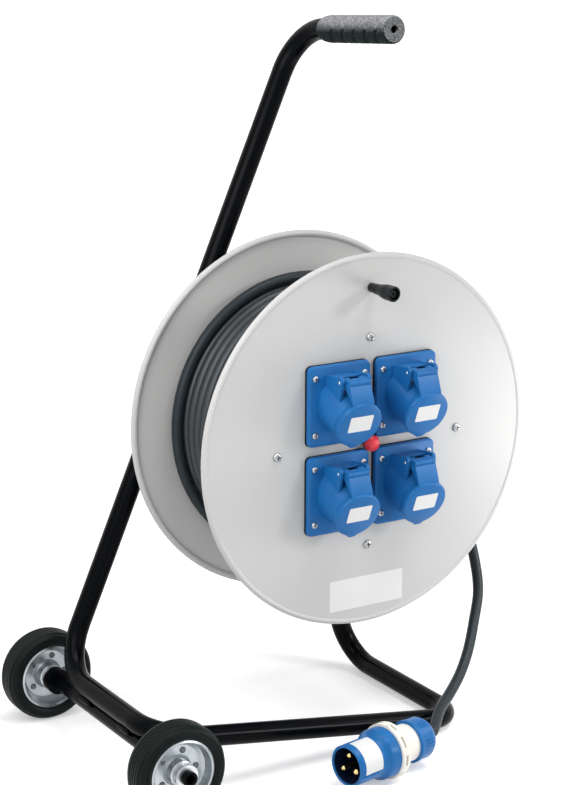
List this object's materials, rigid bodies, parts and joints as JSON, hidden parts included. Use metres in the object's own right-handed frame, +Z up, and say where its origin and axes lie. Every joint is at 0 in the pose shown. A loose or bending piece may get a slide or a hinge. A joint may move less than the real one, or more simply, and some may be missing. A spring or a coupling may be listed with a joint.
{
  "type": "extension cord reel",
  "caption": "Extension cord reel: a flanged drum with lidded sockets, crank knob and wound cord with plug, turning on a bent tube frame with grip and wheels.",
  "frame": {"origin": "on the floor, midway between the wheels' outer edge and the drum's far edge, and midway along the wheel axle", "axes": "+Z up, X across the drum's face with the wheels at -X, Y along the drum's axis with the sockets facing -Y"},
  "size_m": [0.523, 0.3905, 0.7662],
  "materials": {
    "frame_paint": "gloss",
    "grip_foam": "matt foam, speckled",
    "zinc": "zinc plated, satin",
    "rim_zinc": "bluish zinc plating, satin",
    "spring_steel": "drawn wire",
    "cord_rubber": "matt",
    "seal_rubber": "matt",
    "blue_plastic": "satin",
    "insert_plastic": "satin",
    "ivory_plastic": "satin",
    "contact_brass": "turned",
    "flange_paint": "satin",
    "core_plastic": "matt",
    "bush_plastic": "matt",
    "cutout_plastic": "matt",
    "red_plastic": "satin",
    "knob_plastic": "satin",
    "tyre_rubber": "matt"
  },
  "bodies": {
    "frame": {"frame_tube": "frame_paint", "hand_grip": "grip_foam", "wheel_axle": "frame_paint", "axle_welds": "frame_paint", "axle_collar": "frame_paint", "axle_washers": "zinc", "axle_rings": "zinc", "spindle_stop_ring": "frame_paint", "spindle_washer": "zinc", "spindle_ring": "zinc", "cord_lead": "cord_rubber", "plug_shroud": "blue_plastic", "plug_pin_carrier": "insert_plastic", "plug_pins": "contact_brass", "plug_housing": "ivory_plastic", "plug_gland_nut": "blue_plastic", "plug_gland_seal": "seal_rubber"},
    "drum": {"front_flange": "flange_paint", "rear_flange": "flange_paint", "drum_core": "core_plastic", "hub_bushes": "bush_plastic", "flange_screws": "zinc", "cord_inner_layers": "cord_rubber", "cord_winding": "cord_rubber", "cord_grommet": "seal_rubber", "terminal_block": "ivory_plastic", "terminal_screws": "zinc", "socket_body_upper_left": "blue_plastic", "socket_body_upper_right": "blue_plastic", "socket_body_lower_left": "blue_plastic", "socket_body_lower_right": "blue_plastic", "socket_gaskets": "seal_rubber", "contact_inserts": "insert_plastic", "socket_contacts": "contact_brass", "plate_screws": "zinc", "hinge_pins": "zinc", "lid_springs": "spring_steel", "cutout_body": "cutout_plastic", "crank_bolt": "zinc", "crank_nut": "zinc"},
    "lid_upper_left": {"lid_upper_left": "blue_plastic", "lid_seal_upper_left": "seal_rubber"},
    "lid_upper_right": {"lid_upper_right": "blue_plastic", "lid_seal_upper_right": "seal_rubber"},
    "lid_lower_left": {"lid_lower_left": "blue_plastic", "lid_seal_lower_left": "seal_rubber"},
    "lid_lower_right": {"lid_lower_right": "blue_plastic", "lid_seal_lower_right": "seal_rubber"},
    "reset_button": {"reset_button": "red_plastic"},
    "crank_knob": {"crank_knob": "knob_plastic"},
    "front_wheel": {"front_tyre": "tyre_rubber", "front_rim_outer": "rim_zinc", "front_rim_inner": "rim_zinc", "front_hub_tube": "zinc", "front_rivets": "zinc"},
    "rear_wheel": {"rear_tyre": "tyre_rubber", "rear_rim_outer": "rim_zinc", "rear_rim_inner": "rim_zinc", "rear_hub_tube": "zinc", "rear_rivets": "zinc"}
  },
  "joints": [
    {"name": "drum_spin", "type": "hinge", "parent": "frame", "child": "drum", "pos_m": [0.0615, 0, 0.33], "axis": [0, 1, 0], "continuous": true},
    {"name": "front_wheel_spin", "type": "hinge", "parent": "frame", "child": "front_wheel", "pos_m": [-0.2115, -0.1482, 0.05], "axis": [0, 1, 0], "continuous": true},
    {"name": "rear_wheel_spin", "type": "hinge", "parent": "frame", "child": "rear_wheel", "pos_m": [-0.2115, 0.1482, 0.05], "axis": [0, 1, 0], "continuous": true},
    {"name": "crank_knob_spin", "type": "hinge", "parent": "drum", "child": "crank_knob", "pos_m": [0.0615, -0.097, 0.4944], "axis": [0, 1, 0], "continuous": true},
    {"name": "reset_button_press", "type": "slide", "parent": "drum", "child": "reset_button", "axis": [0, 1, 0], "range_m": [0, 0.0025], "stiffness_N_per_m": 400, "springref_m": -0.002},
    {"name": "lid_upper_left_hinge", "type": "hinge", "parent": "drum", "child": "lid_upper_left", "pos_m": [0.02, -0.109, 0.408], "axis": [-1, 0, 0], "range_deg": [0, 90], "stiffness_Nm_per_rad": 0.03, "springref_deg": -34.38},
    {"name": "lid_upper_right_hinge", "type": "hinge", "parent": "drum", "child": "lid_upper_right", "pos_m": [0.103, -0.109, 0.408], "axis": [-1, 0, 0], "range_deg": [0, 90], "stiffness_Nm_per_rad": 0.03, "springref_deg": -34.38},
    {"name": "lid_lower_left_hinge", "type": "hinge", "parent": "drum", "child": "lid_lower_left", "pos_m": [0.02, -0.109, 0.312], "axis": [-1, 0, 0], "range_deg": [0, 90], "stiffness_Nm_per_rad": 0.03, "springref_deg": -34.38},
    {"name": "lid_lower_right_hinge", "type": "hinge", "parent": "drum", "child": "lid_lower_right", "pos_m": [0.103, -0.109, 0.312], "axis": [-1, 0, 0], "range_deg": [0, 90], "stiffness_Nm_per_rad": 0.03, "springref_deg": -34.38}
  ]
}
